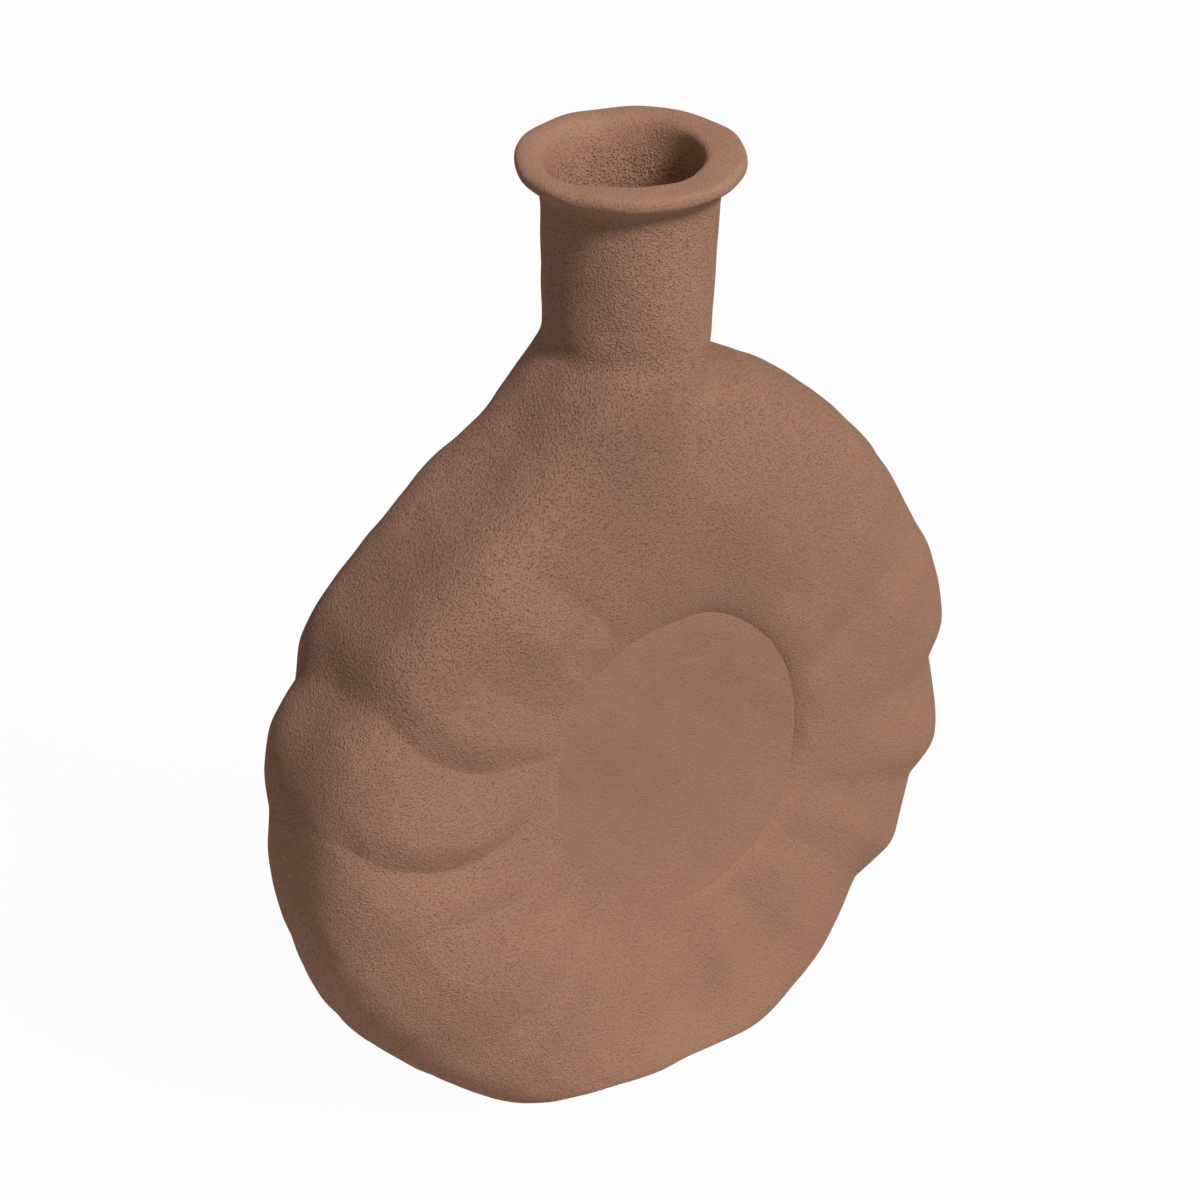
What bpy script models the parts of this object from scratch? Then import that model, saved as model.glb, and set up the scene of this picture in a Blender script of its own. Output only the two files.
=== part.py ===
"""Terracotta vase: a ribbed moon flask with a flared neck, built up from clay pieces luted with slip.

Metres, +Z up. The seen face looks towards -Y, the two moulded halves meet on the plane y = 0,
the neck stands on the Z axis and the foot slab rests on z = 0.
"""

import bmesh
import bpy
import numpy as np

# Clay and joints
WALL = 0.0048            # thickness of the moulded halves and of the neck
JOINT_GAP = 0.0003       # slip line left between two pieces

# Ring body, measured about the axis of the round panel (the disc axis, along Y)
BODY_RADIUS = 0.122      # mean radius of the outline
HALF_DEPTH = 0.030       # seam plane to the crest of the ring, on each side
DISC_AXIS_X = -0.0067    # disc axis to the left of the neck's axis

# Outline of the ring: angle from +X towards +Z in degrees, swell beyond BODY_RADIUS
OUTLINE_SWELL = (
    (66, 0.0021),
    (48, -0.0012),
    (28, -0.0027),
    (8, 0.0007),
    (-12, 0.0026),
    (-32, -0.0011),
    (-52, -0.0064),
    (-74, -0.0037),
    (-92, 0.0015),
    (-110, -0.0033),
    (-130, -0.0022),
    (-150, 0.0028),
    (-180, 0.0127),
    (-208, 0.0131),
    (-230, 0.0050),
    (-252, 0.0042),
)

# The ring's section every 30 degrees, from straight up and on round by the right:
# crest beyond HALF_DEPTH, depth kept towards the outline as a share of HALF_DEPTH, power of the
# superellipse from the crest to the outline, share of upright wall in the rise from the panel to
# the crest, and the crest's place on the way from the panel's edge to the outline
SECTIONS = (
    (0.0005, 1.03, 3.8, 0.50, 0.45),
    (0.0010, 1.02, 3.6, 0.60, 0.45),
    (0.0010, 0.98, 3.1, 0.55, 0.42),
    (0.0005, 0.97, 3.0, 0.45, 0.40),
    (0.0000, 0.95, 3.4, 0.25, 0.41),
    (-0.0005, 0.93, 4.0, 0.08, 0.42),
    (-0.0005, 0.93, 4.4, 0.03, 0.42),
    (0.0000, 0.87, 4.2, 0.03, 0.38),
    (0.0005, 0.72, 3.8, 0.04, 0.40),
    (0.0005, 0.97, 2.7, 0.04, 0.40),
    (0.0005, 0.98, 2.7, 0.10, 0.42),
    (0.0005, 1.00, 3.1, 0.35, 0.45),
)
WALL_POWER = 8           # power of the upright wall by the panel
SLOPE_POWER = 1.6        # power of the slope from the panel to the crest

# Grooves pressed between the ribs: angles about the disc axis near the panel, half way and at the
# outline; widths in degrees on the upper and lower turn side; depths at the same three places; and
# the share of soft hollow in the profile, the rest being a notch
GROOVES = (
    (79.0, 83.0, 84.0, 12, 12, 0.0008, 0.0005, 0.0000, 0.9),
    (44.0, 47.0, 47.0, 13, 14, 0.0011, 0.0006, 0.0000, 0.9),
    (20.0, 20.4, 19.5, 14, 14, 0.0006, 0.0009, 0.0008, 0.8),
    (-4.3, -4.0, -2.3, 7, 14, 0.0006, 0.0011, 0.0045, 0.7),
    (-25.0, -23.5, -21.7, 7, 13, 0.0005, 0.0014, 0.0050, 0.6),
    (-41.0, -41.0, -40.5, 9, 15, 0.0013, 0.0019, 0.0052, 0.6),
    (-63.4, -64.2, -64.2, 13, 13, 0.0015, 0.0022, 0.0000, 0.9),
    (-83.5, -83.0, -82.5, 10, 12, 0.0010, 0.0018, 0.0000, 0.9),
    (-108.6, -105.0, -106.0, 10, 12, 0.0008, 0.0013, 0.0000, 0.9),
    (-127.5, -131.5, -137.6, 11, 11, 0.0006, 0.0008, 0.0012, 0.6),
    (-146.0, -154.5, -160.0, 8, 8, 0.0005, 0.0005, 0.0000, 0.5),
    (-156.0, -163.0, -165.1, 12, 8, 0.0002, 0.0016, 0.0006, 0.35),
    (-182.0, -180.0, -183.0, 15, 9, 0.0007, 0.0024, 0.0028, 0.5),
    (-201.5, -200.0, -207.0, 15, 8, 0.0008, 0.0026, 0.0032, 0.5),
    (-220.5, -222.0, -225.0, 12, 12, 0.0008, 0.0018, 0.0029, 0.8),
    (-243.0, -238.5, -231.5, 8, 8, 0.0008, 0.0010, 0.0000, 0.4),
    (-252.5, -251.0, -254.5, 12, 11, 0.0005, 0.0010, 0.0012, 1.0),
)
GROOVE_NEAR = 0.2        # the first two of the three places, as shares of the way to the outline
GROOVE_MIDDLE = 0.55
GROOVE_FADE = 0.105      # height above the disc axis where the grooves begin to fade towards the neck
INNER_FOLLOW = 0.8       # share of a groove's depth that shows on the inside

# Round panel in the middle of each face
DISC_RADIUS = 0.0455
DISC_SINK = 0.0028       # middle of the panel's outer face below HALF_DEPTH
DISC_FACE = HALF_DEPTH - DISC_SINK
DISC_TILT = 0.0008       # panel's upper edge further out than its middle
DISC_THICKNESS = 0.0048
DISC_EDGE_ROUND = 0.0006
RECESS_SPACING = 1.5     # rings of the mesh drawn towards the panel's edge

# Neck and shoulder
NECK_RADIUS = 0.0262     # outside, at the joint with the shoulder
NECK_RISE = 0.015        # joint above the ring's mean outline
NECK_LENGTH = 0.0375
NECK_FLARE = 0.0009      # wider at the top
COLLAR_RIGHT = (-0.0002, 0.0171)   # shoulder's corner: out from the neck, down from the joint
COLLAR_LEFT = (0.0028, 0.0030)
SHOULDER_START = 0.055   # height above the disc axis where the body begins to thin towards the neck
SHOULDER_POWER = (2.3, 2.1)   # superellipse powers of the level sections, right and left
BLEND_START = 0.050      # height above the disc axis where level sections begin to take over
BLEND_END = 0.003        # above BODY_RADIUS: height where level sections have taken over

# Rim
RIM_RADIUS = 0.0355
RIM_HEIGHT = 0.0181
LIP_THICKNESS = 0.0052
LIP_ROUND = 0.0018
MOUTH_RADIUS = 0.0240
MOUTH_ROUND = 0.0012

# Foot
FLAT_CUT = 0.0211        # how far the foot's joint cuts into the ring
FOOT_THICKNESS = 0.005
FOOT_EDGE_ROUND = 0.0012
LOW_TURN = (-45, -135)   # sector of the outline, in degrees, that holds the foot

# Coil pressed along the seam inside
COIL_RADIUS = 0.0035
COIL_CLEARANCE = 0.0005
COIL_SOFTNESS = 0.012    # half height of the coil's bend on to the floor
COIL_END_DROP = 0.034    # ends below the neck joint, clear of the passage

# Facets
CURVE_STEPS = 1200
SHOULDER_RIGHT_STEPS = 9
SHOULDER_LEFT_STEPS = 5
RAY_STEP = 4.2           # degrees between rays, at most about
NECK_LINE_STEPS = 13
RECESS_STEPS = 5
OUTER_STEPS = 7
INNER_RECESS_STEPS = 2
INNER_OUTER_STEPS = 5
FLAT_STEPS = 3           # rings of the mesh beyond the foot's cut
ROUND_STEPS = 48
FOOT_STEPS = 72
COIL_POINTS = 64

# Clay colours, linear
CLAY = (0.330, 0.178, 0.118)
CLAY_PALE = (0.345, 0.188, 0.126)
CLAY_DARK = (0.290, 0.152, 0.100)
CLAY_ROUGHNESS = 0.92

# Worked out
FLOOR_LEVEL = FLAT_CUT - BODY_RADIUS
DISC_AXIS_Z = FOOT_THICKNESS + JOINT_GAP - FLOOR_LEVEL
JOINT_LEVEL = BODY_RADIUS + NECK_RISE
NECK_BASE = DISC_AXIS_Z + JOINT_LEVEL
NECK_TOP = NECK_BASE + NECK_LENGTH
BORE_RADIUS = NECK_RADIUS - WALL
NECK_X = -DISC_AXIS_X

for old in list(bpy.data.objects):
    bpy.data.objects.remove(old)
vase = bpy.data.collections.new("terracotta_vase")
bpy.context.scene.collection.children.link(vase)


def clay(name, colour):
    """A matte fired clay of one colour."""
    material = bpy.data.materials.new(name)
    material.use_nodes = True
    shader = material.node_tree.nodes["Principled BSDF"]
    shader.inputs["Base Color"].default_value = (*colour, 1.0)
    shader.inputs["Roughness"].default_value = CLAY_ROUGHNESS
    shader.inputs["Metallic"].default_value = 0.0
    return material


def piece(name, data, colour):
    """Put a mesh or curve into the vase's collection as a named piece with its own clay."""
    data.name = name
    data.materials.append(clay(name + "_clay", colour))
    result = bpy.data.objects.new(name, data)
    vase.objects.link(result)
    return result


def mesh_from(shape):
    """Turn a bmesh into a smooth-shaded mesh."""
    mesh = bpy.data.meshes.new("piece")
    shape.to_mesh(mesh)
    shape.free()
    mesh.shade_smooth()
    mesh.set_sharp_from_angle(angle=np.radians(40))
    return mesh


def smooth_step(value):
    """0 below 0, 1 above 1, level at both ends."""
    share = np.clip(value, 0, 1)
    return share * share * (3 - 2 * share)


def smooth_curve(points, count):
    """Cubic through all points but the first and last, which only set the end slopes."""
    points = np.array(points)
    way = np.concatenate([[0], np.cumsum(np.linalg.norm(np.diff(points, axis=0), axis=1))])
    slope = (points[2:] - points[:-2]) / (way[2:] - way[:-2])[:, None]
    knots = points[1:-1]
    way = way[1:-1]
    place = np.linspace(way[0], way[-1], count)
    span = np.clip(np.searchsorted(way, place, "right") - 1, 0, len(way) - 2)
    length = way[span + 1] - way[span]
    share = ((place - way[span]) / length)[:, None]
    length = length[:, None]
    start = (1 + 2 * share) * (1 - share) ** 2 * knots[span]
    start_slope = share * (1 - share) ** 2 * length * slope[span]
    end = share ** 2 * (3 - 2 * share) * knots[span + 1]
    end_slope = share ** 2 * (share - 1) * length * slope[span + 1]
    return start + start_slope + end + end_slope


def ring_outline():
    """The rib-free outline on the seam plane, about the disc axis, from the neck's right side
    clockwise to its left side."""
    right = NECK_X + NECK_RADIUS
    left = NECK_X - NECK_RADIUS
    points = [(right, JOINT_LEVEL + NECK_RISE), (right, JOINT_LEVEL)]
    points.append((right + COLLAR_RIGHT[0], JOINT_LEVEL - COLLAR_RIGHT[1]))
    for angle, swell in OUTLINE_SWELL:
        radius = BODY_RADIUS + swell
        points.append((radius * np.cos(np.radians(angle)), radius * np.sin(np.radians(angle))))
    points.append((left - COLLAR_LEFT[0], JOINT_LEVEL - COLLAR_LEFT[1]))
    points += [(left, JOINT_LEVEL), (left, JOINT_LEVEL + NECK_RISE)]
    return smooth_curve(points, CURVE_STEPS)


def outward(curve):
    """Unit normals of a clockwise plane curve, level at its two ends, which meet the neck."""
    along = np.gradient(curve, axis=0)
    normal = np.stack([-along[:, 1], along[:, 0]], 1)
    normal /= np.linalg.norm(normal, axis=1)[:, None]
    normal[0] = (1, 0)
    normal[-1] = (-1, 0)
    return normal


def turn_angle(x, z):
    """Angle about the disc axis in degrees, falling from the neck's right side round to its left."""
    angle = np.degrees(np.arctan2(z, x))
    neck = np.degrees(np.arctan2(JOINT_LEVEL, NECK_X))
    return np.where(angle > neck, angle - 360, angle)


def section(angle):
    """The five values of the ring's section at angles in degrees, on a closed Catmull-Rom cubic."""
    rows = np.array(SECTIONS)
    place = (90 - angle) / 30
    step = np.floor(place).astype(int)
    share = (place - step)[..., None]
    before, here, after, beyond = [rows[(step + shift) % 12] for shift in (-1, 0, 1, 2)]
    bend = 2 * before - 5 * here + 4 * after - beyond + share * (3 * (here - after) + beyond - before)
    return np.moveaxis(here + share * (after - before + share * bend) / 2, -1, 0)


def groove_cut(angle, share):
    """Depth of the grooves at an angle and a share of the way from the panel to the outline.

    A groove's line is a parabola through its three angles. Across it a notch is mixed with a soft
    hollow, and along it the depth goes in smooth steps through its three values.
    """
    cut = np.zeros(share.shape)
    first = (GROOVE_NEAR - GROOVE_MIDDLE) * (GROOVE_NEAR - 1)
    second = (GROOVE_MIDDLE - GROOVE_NEAR) * (GROOVE_MIDDLE - 1)
    third = (1 - GROOVE_NEAR) * (1 - GROOVE_MIDDLE)
    for near, mid, far, ahead, astern, shallow, middle, deep, soft in GROOVES:
        line = near * (share - GROOVE_MIDDLE) * (share - 1) / first
        line = line + mid * (share - GROOVE_NEAR) * (share - 1) / second
        line = line + far * (share - GROOVE_NEAR) * (share - GROOVE_MIDDLE) / third
        off = (angle - line + 180) % 360 - 180
        off = np.minimum(np.abs(off) / np.where(off > 0, ahead, astern), 1)
        profile = (1 - soft) * (1 - off) ** 2 + soft * np.cos(np.pi / 2 * off) ** 2
        depth = shallow * smooth_step(share / GROOVE_NEAR)
        half_way = smooth_step((share - GROOVE_NEAR) / (GROOVE_MIDDLE - GROOVE_NEAR))
        depth = depth + (middle - shallow) * half_way
        depth = depth + (deep - middle) * smooth_step((share - GROOVE_MIDDLE) / (1 - GROOVE_MIDDLE))
        cut += profile * depth
    return cut


def ray_places(outline):
    """Places along the outline, as shares of its points, where the rays of the mesh end: evenly on
    the smooth shoulders, one in each groove and the others evenly between."""
    angle = turn_angle(outline[:, 0], outline[:, 1])
    grooves = [groove[2] for groove in GROOVES if angle[-1] < groove[2] < angle[0]]
    ribs = []
    for start, end in zip(grooves, grooves[1:]):
        ribs.extend(np.linspace(start, end, max(1, round((start - end) / RAY_STEP)), endpoint=False))
    ribs = np.interp(-np.array(ribs + grooves[-1:]), -angle, np.arange(CURVE_STEPS))
    right = np.linspace(0, ribs[0], SHOULDER_RIGHT_STEPS, endpoint=False)
    left = np.linspace(ribs[-1], CURVE_STEPS - 1, SHOULDER_LEFT_STEPS + 1)[1:]
    return np.concatenate([right, ribs, left])


def ring_skin(angle, reach, radius, edge, inset):
    """x, depth and z of a skin of the ring, inset into the clay, at radii on rays of given reach.

    The depth on a ray rises by power laws from the panel to the crest and falls to the seam as a
    quarter superellipse; near the neck it turns into level sections that end in the neck's circle.
    Then the grooves are pressed in, square to the section.
    """
    turn = np.degrees(angle)
    rise, kept, power, wall, place = section(turn)
    top = HALF_DEPTH + rise - inset
    rim = HALF_DEPTH * kept - inset
    floor = DISC_FACE + DISC_TILT * np.sin(angle) - inset
    crest = DISC_RADIUS + place * (reach - DISC_RADIUS)
    climb = 1 - np.clip((radius - DISC_RADIUS) / (crest - DISC_RADIUS), 0, 1)
    over = np.clip((radius - crest) / (reach - crest), 0, 1)
    recess = floor + (top - floor) * (1 - wall * climb ** WALL_POWER - (1 - wall) * climb ** SLOPE_POWER)
    corner = (1 - over ** power) ** (1 / power)
    depth = np.where(radius < crest, recess, (top - (top - rim) * over ** 2) * corner)

    x = radius * np.cos(angle)
    z = radius * np.sin(angle)
    widest = np.argmax(edge[:, 0])
    leftmost = np.argmin(edge[:, 0])
    right = np.interp(z, edge[widest::-1, 1], edge[widest::-1, 0])
    left = np.interp(z, edge[leftmost:, 1], edge[leftmost:, 0])
    rise = smooth_step((z - SHOULDER_START) / (JOINT_LEVEL - SHOULDER_START))
    thick = (HALF_DEPTH - inset) * (1 - rise) + (NECK_RADIUS - inset) * rise
    level_power = np.where(x > (right + left) / 2, *SHOULDER_POWER) * (1 - rise) + 2 * rise
    across = np.clip(np.abs(x - (right + left) / 2) / ((right - left) / 2), 0, 1)
    level = thick * (1 - across ** level_power) ** (1 / level_power)
    blend = smooth_step((z - BLEND_START) / (BODY_RADIUS + BLEND_END - BLEND_START))
    depth = depth * (1 - blend) + level * blend

    share = np.clip((radius - DISC_RADIUS) / (reach - DISC_RADIUS), 0, 1)
    cut = groove_cut(turn, share) * (1 - smooth_step((z - GROOVE_FADE) / (JOINT_LEVEL - GROOVE_FADE)))
    outwards = over ** (power - 1) / (reach - crest)
    forwards = corner ** (power - 1) / top
    pressed = cut * (INNER_FOLLOW if inset else 1) / np.hypot(outwards, forwards)
    radius = radius - pressed * outwards
    return radius * np.cos(angle), depth - pressed * forwards, radius * np.sin(angle)


def half_surface(inset, recess_steps, outer_steps):
    """One skin of a moulded half as x, depth and z grids, inset into the clay, flat at the foot.

    Each row is a ray from the panel's edge over the ring's crest to the seam, or to the neck's joint.
    One ring of the mesh lies where the foot's joint cuts the skin.
    """
    outline = ring_outline()
    edge = outline - inset * outward(outline)
    places = ray_places(outline)
    steps = np.arange(CURVE_STEPS)
    turn = np.linspace(np.pi, 0, NECK_LINE_STEPS + 1)[1:-1]
    neck = NECK_RADIUS - inset
    end_x = np.concatenate([np.interp(places, steps, edge[:, 0]), NECK_X + neck * np.cos(turn)])
    end_z = np.concatenate([np.interp(places, steps, edge[:, 1]), np.full(len(turn), JOINT_LEVEL)])
    angle = np.arctan2(end_z, end_x)[:, None]
    reach = np.hypot(end_x, end_z)[:, None]
    power, place = section(np.degrees(angle))[[2, 4]]
    crest = DISC_RADIUS + place * (reach - DISC_RADIUS)

    floor = FLOOR_LEVEL + inset
    foot = np.where(end_z[:, None] < floor, floor / np.sin(angle), reach)
    foot = np.arcsin(np.clip((foot - crest) / (reach - crest), 0.05, 0.97) ** (power / 2))
    upper = np.linspace(0, 1, outer_steps + 1)
    lower = np.linspace(0, 1, FLAT_STEPS + 1)[1:]
    outer = np.sin(np.hstack([foot * upper, foot + (np.pi / 2 - foot) * lower])) ** (2 / power)
    slope = np.linspace(0, 1, recess_steps, endpoint=False) ** RECESS_SPACING
    radius = np.hstack([DISC_RADIUS + slope * (crest - DISC_RADIUS), crest + outer * (reach - crest)])
    x, depth, z = ring_skin(angle, reach, radius, edge, inset)
    depth[: len(places), -1] = 0
    return x, depth, np.maximum(z, floor)


def moulded_half(name, side):
    """A ribbed half with a hole for the panel: its two skins joined round the seam and the hole."""
    outside = half_surface(0, RECESS_STEPS, OUTER_STEPS)
    inside = half_surface(WALL, INNER_RECESS_STEPS, INNER_OUTER_STEPS)
    x, depth, z = [np.hstack([a, b[:, ::-1]]) for a, b in zip(outside, inside)]
    rows, columns = x.shape
    shape = bmesh.new()
    bmesh.ops.create_grid(shape, x_segments=rows, y_segments=columns, size=1)
    places = np.array([vert.co[:2] for vert in shape.verts])
    row = np.rint((places[:, 0] + 1) / 2 * rows).astype(int) % rows
    column = np.rint((places[:, 1] + 1) / 2 * columns).astype(int) % columns
    for vert, i, j in zip(shape.verts, row, column):
        y = side * (depth[i, j] + JOINT_GAP / 2)
        vert.co = (x[i, j] + DISC_AXIS_X, y, z[i, j] + DISC_AXIS_Z)
    bmesh.ops.remove_doubles(shape, verts=shape.verts, dist=0.00001)
    bmesh.ops.recalc_face_normals(shape, faces=shape.faces)
    return piece(name, mesh_from(shape), CLAY)


def panel(name, side):
    """A flat round slab let into the hole in the middle of a face, leaning out a little at the top."""
    shape = bmesh.new()
    radius = DISC_RADIUS - JOINT_GAP
    bmesh.ops.create_cone(
        shape, cap_ends=True, segments=ROUND_STEPS, radius1=radius, radius2=radius, depth=DISC_THICKNESS
    )
    result = piece(name, mesh_from(shape), CLAY_PALE)
    result.rotation_euler = (-side * (np.pi / 2 + np.arctan(DISC_TILT / DISC_RADIUS)), 0, 0)
    result.location = (DISC_AXIS_X, side * (DISC_FACE - DISC_THICKNESS / 2 + JOINT_GAP / 2), DISC_AXIS_Z)
    edge = result.modifiers.new("worn_edge", "BEVEL")
    edge.width = DISC_EDGE_ROUND
    edge.segments = 2
    edge.limit_method = "ANGLE"
    return result


def turned(name, profile, colour):
    """A closed profile of (radius, height) points, down the outside and up the inside, thrown round Z."""
    mesh = bpy.data.meshes.new(name)
    count = len(profile)
    edges = [(i, (i + 1) % count) for i in range(count)]
    mesh.from_pydata([(radius, 0, height) for radius, height in profile], edges, [])
    result = piece(name, mesh, colour)
    spin = result.modifiers.new("throw", "SCREW")
    spin.steps = ROUND_STEPS
    spin.render_steps = ROUND_STEPS
    spin.use_merge_vertices = True
    spin.merge_threshold = 0.00001
    spin.use_smooth_shade = True
    return result


def arc(centre, radius, start, end, steps):
    """Points on an arc in the profile plane, angles in degrees."""
    turn = np.radians(np.linspace(start, end, steps))
    return [(centre[0] + radius * np.cos(a), centre[1] + radius * np.sin(a)) for a in turn]


def neck_tube():
    """The neck: a short tube, a little wider at the top, butted on the shoulder."""
    low = NECK_BASE + JOINT_GAP
    middle = (low + NECK_TOP) / 2
    outside = [(NECK_RADIUS + NECK_FLARE, NECK_TOP), (NECK_RADIUS + NECK_FLARE / 3, middle)]
    outside.append((NECK_RADIUS, low))
    inside = [(BORE_RADIUS, low), (BORE_RADIUS, middle), (BORE_RADIUS, NECK_TOP)]
    return turned("neck", outside + inside, CLAY)


def rim_ring():
    """The flared rim: a flat lip with a rounded edge on a curved flare, a funnel mouth inside."""
    low = NECK_TOP + JOINT_GAP
    top = NECK_TOP + RIM_HEIGHT
    under = top - LIP_THICKNESS
    mouth = arc((MOUTH_RADIUS + MOUTH_ROUND, top - MOUTH_ROUND), MOUTH_ROUND, 180, 90, 4)
    lip = arc((RIM_RADIUS - LIP_ROUND, top - LIP_ROUND), LIP_ROUND, 90, 0, 4)
    flare_width = RIM_RADIUS - NECK_RADIUS - NECK_FLARE
    flare_height = under - low
    flare = []
    for share in np.linspace(0, 1, 6):
        flare.append((RIM_RADIUS - flare_width * share ** 0.8, under - flare_height * share ** 1.6))
    return turned("rim", mouth + lip + flare + [(BORE_RADIUS, low)], CLAY_PALE)


def foot_plan(level):
    """The ring's own plan at a level below the foot's joint, as FOOT_STEPS points of x and y."""
    outline = ring_outline()
    angle = turn_angle(outline[:, 0], outline[:, 1])
    low = outline[(angle < LOW_TURN[0]) & (angle > LOW_TURN[1])]
    angle = np.unwrap(np.arctan2(low[:, 1], low[:, 0]))
    reach = np.hypot(low[:, 0], low[:, 1])
    deepest = np.argmin(low[:, 1])
    first = np.interp(-level, -low[: deepest + 1, 1], angle[: deepest + 1])
    last = np.interp(level, low[deepest:, 1], angle[deepest:])
    turn = np.linspace(0, 2 * np.pi, FOOT_STEPS, endpoint=False)
    ray = (first + last) / 2 + (first - last) / 2 * np.cos(turn)
    ray_reach = np.interp(-ray, -angle, reach)
    x, depth, _ = ring_skin(ray, ray_reach, np.minimum(level / np.sin(ray), ray_reach), outline, 0)
    return x + DISC_AXIS_X, np.sign(np.sin(turn)) * depth


def foot_slab():
    """The foot: a slab under the ring, trimmed flush with the ring's sides."""
    shape = bmesh.new()
    bmesh.ops.create_cone(
        shape, cap_ends=True, segments=FOOT_STEPS, radius1=1, radius2=1, depth=FOOT_THICKNESS
    )
    under = foot_plan(FLOOR_LEVEL - JOINT_GAP - FOOT_THICKNESS)
    upper = foot_plan(FLOOR_LEVEL - JOINT_GAP)
    for vert in shape.verts:
        step = round(np.arctan2(vert.co.y, vert.co.x) / (2 * np.pi) * FOOT_STEPS) % FOOT_STEPS
        x, y = upper if vert.co.z > 0 else under
        vert.co = (x[step], y[step], vert.co.z)
    result = piece("base_slab", mesh_from(shape), CLAY_DARK)
    result.location = (0, 0, FOOT_THICKNESS / 2)
    edge = result.modifiers.new("worn_edge", "BEVEL")
    edge.width = FOOT_EDGE_ROUND
    edge.segments = 2
    edge.limit_method = "ANGLE"
    return result


def seam_coil():
    """The coil of clay pressed along the inside of the seam, from one side of the neck to the other."""
    smooth = ring_outline()
    deepest = INNER_FOLLOW * max(groove[7] for groove in GROOVES)
    route = smooth - (WALL + deepest + COIL_CLEARANCE + COIL_RADIUS) * outward(smooth)
    floor = FLOOR_LEVEL + WALL + COIL_CLEARANCE + COIL_RADIUS
    lift = route[:, 1] - floor
    soft = np.clip(lift + COIL_SOFTNESS, 0, 2 * COIL_SOFTNESS) ** 2 / (4 * COIL_SOFTNESS)
    route[:, 1] = floor + np.where(lift > COIL_SOFTNESS, lift, soft)
    route = route[route[:, 1] < JOINT_LEVEL - COIL_END_DROP]
    way = np.concatenate([[0], np.cumsum(np.linalg.norm(np.diff(route, axis=0), axis=1))])
    place = np.linspace(0, way[-1], COIL_POINTS)
    x = np.interp(place, way, route[:, 0]) + DISC_AXIS_X
    z = np.interp(place, way, route[:, 1]) + DISC_AXIS_Z
    curve = bpy.data.curves.new("coil", "CURVE")
    curve.dimensions = "3D"
    curve.bevel_depth = COIL_RADIUS
    curve.bevel_resolution = 2
    curve.use_fill_caps = True
    spline = curve.splines.new("POLY")
    spline.points.add(COIL_POINTS - 1)
    for point, a, b in zip(spline.points, x, z):
        point.co = (a, 0, b, 1)
    return piece("seam_coil", curve, CLAY_DARK)


moulded_half("front_half", -1)
moulded_half("back_half", 1)
seam_coil()
panel("front_disc", -1)
panel("back_disc", 1)
neck_tube()
rim_ring()
foot_slab()
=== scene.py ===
import bmesh
import bpy
import numpy as np
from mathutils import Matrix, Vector


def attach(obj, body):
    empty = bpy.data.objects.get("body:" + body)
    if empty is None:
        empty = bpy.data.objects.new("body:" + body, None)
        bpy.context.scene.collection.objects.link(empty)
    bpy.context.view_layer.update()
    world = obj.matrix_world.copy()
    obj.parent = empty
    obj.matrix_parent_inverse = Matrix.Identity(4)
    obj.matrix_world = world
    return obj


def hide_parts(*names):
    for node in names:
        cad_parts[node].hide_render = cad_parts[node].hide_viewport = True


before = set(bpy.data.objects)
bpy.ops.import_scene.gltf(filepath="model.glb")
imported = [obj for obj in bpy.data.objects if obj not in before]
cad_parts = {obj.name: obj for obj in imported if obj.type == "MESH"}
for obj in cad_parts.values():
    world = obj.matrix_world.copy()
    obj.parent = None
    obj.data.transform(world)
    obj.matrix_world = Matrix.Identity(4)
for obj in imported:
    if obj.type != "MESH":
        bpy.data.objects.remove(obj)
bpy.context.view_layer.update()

# Front and back half: two shells of terracotta pressed into one ribbed mould and luted together on the
# plane y = 0. Each is a ring round a hole for the round panel, drawn up at the top into the shoulder
# that carries the neck. All lengths here are millimetres about the panel's axis until a mesh is filled.
MILLIMETRE = 0.001
PANEL_AXIS = np.array([-6.7, 0.0, 106.2])
STANDING_PLANE = -PANEL_AXIS[2]
FOOT_THICKNESS = 5.0
WALL = 4.8
PANEL_RADIUS = 45.5
PANEL_FACE = 27.2
PANEL_TILT = 0.8
PANEL_DIP = 0.5
NECK_X = 5.6
NECK_LEAN = 0.03
NECK_RADIUS = 26.2
NECK_JOINT = 137.0

# Outline on the seam plane: angle from +X towards +Z in degrees, reach from the panel's axis. At each
# end a collar point, this far outside the neck and below its joint, and a last point up the neck
OUTLINE = (
    (66, 124.1), (48, 120.6), (28, 119.3), (8, 123.4), (-12, 125.2), (-32, 121.6), (-52, 116.9),
    (-74, 119.8), (-92, 123.5), (-110, 119.2), (-130, 120.4), (-150, 125.6), (-166, 129.0),
    (-181, 131.0), (-190, 132.0), (-197, 131.6), (-205, 126.0), (-214, 124.6), (-230, 117.2),
    (-252, 121.6),
)
COLLAR_RIGHT = (-0.2, 17.1)
COLLAR_LEFT = (1.6, 5.0)
UP_THE_NECK = 16.0
OUTLINE_POINTS = 4000

# The ring's section every 30 degrees, from straight up and on round the right side
CREST_DEPTH = (33.0, 33.3, 33.0, 32.0, 30.5, 29.5, 29.5, 30.0, 30.5, 31.0, 32.5, 33.0)
EDGE_DEPTH = (31.0, 30.5, 29.5, 29.0, 28.8, 28.8, 28.8, 26.0, 21.5, 29.0, 29.5, 30.0)
EDGE_POWER = (3.8, 3.6, 3.1, 3.0, 3.4, 4.4, 4.8, 4.0, 3.0, 2.6, 3.6, 4.5)
WALL_SHARE = (0.58, 0.70, 0.78, 0.75, 0.66, 0.45, 0.06, 0.03, 0.04, 0.04, 0.08, 0.25)
PANEL_EDGE = (47.2, 47.8, 49.3, 51.5, 54.0, 53.5, 50.0, 46.0, 45.5, 46.5, 48.5, 49.0)
CREST_SHARE = (0.58, 0.52, 0.48, 0.45, 0.42, 0.42, 0.42, 0.38, 0.40, 0.48, 0.60, 0.65)

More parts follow.
